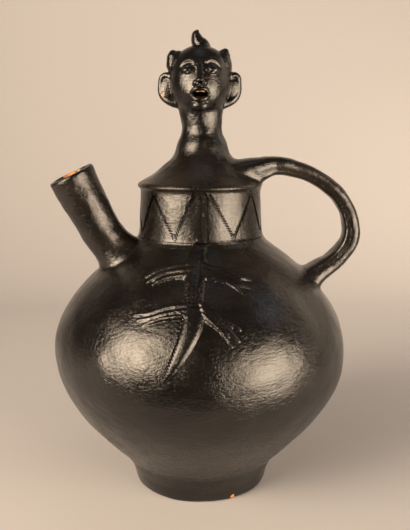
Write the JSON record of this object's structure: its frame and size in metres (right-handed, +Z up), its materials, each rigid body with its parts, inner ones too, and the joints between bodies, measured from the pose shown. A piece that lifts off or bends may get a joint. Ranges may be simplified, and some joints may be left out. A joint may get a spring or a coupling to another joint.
{
  "type": "jug",
  "caption": "black burnished earthenware jug with a round belly, tube spout, strap handle, a head above the cap and a lizard in relief",
  "frame": {"origin": "centre of the foot's flat underside", "axes": "+Z up, -Y the front with the lizard and the face, +X towards the handle"},
  "size_m": [0.2565, 0.2472, 0.3798],
  "materials": {
    "clay": "black burnished earthenware, brownish where the burnish thins"
  },
  "bodies": {
    "root": {"belly": "clay", "collar": "clay", "head": "clay", "spout": "clay", "handle": "clay"}
  },
  "joints": []
}
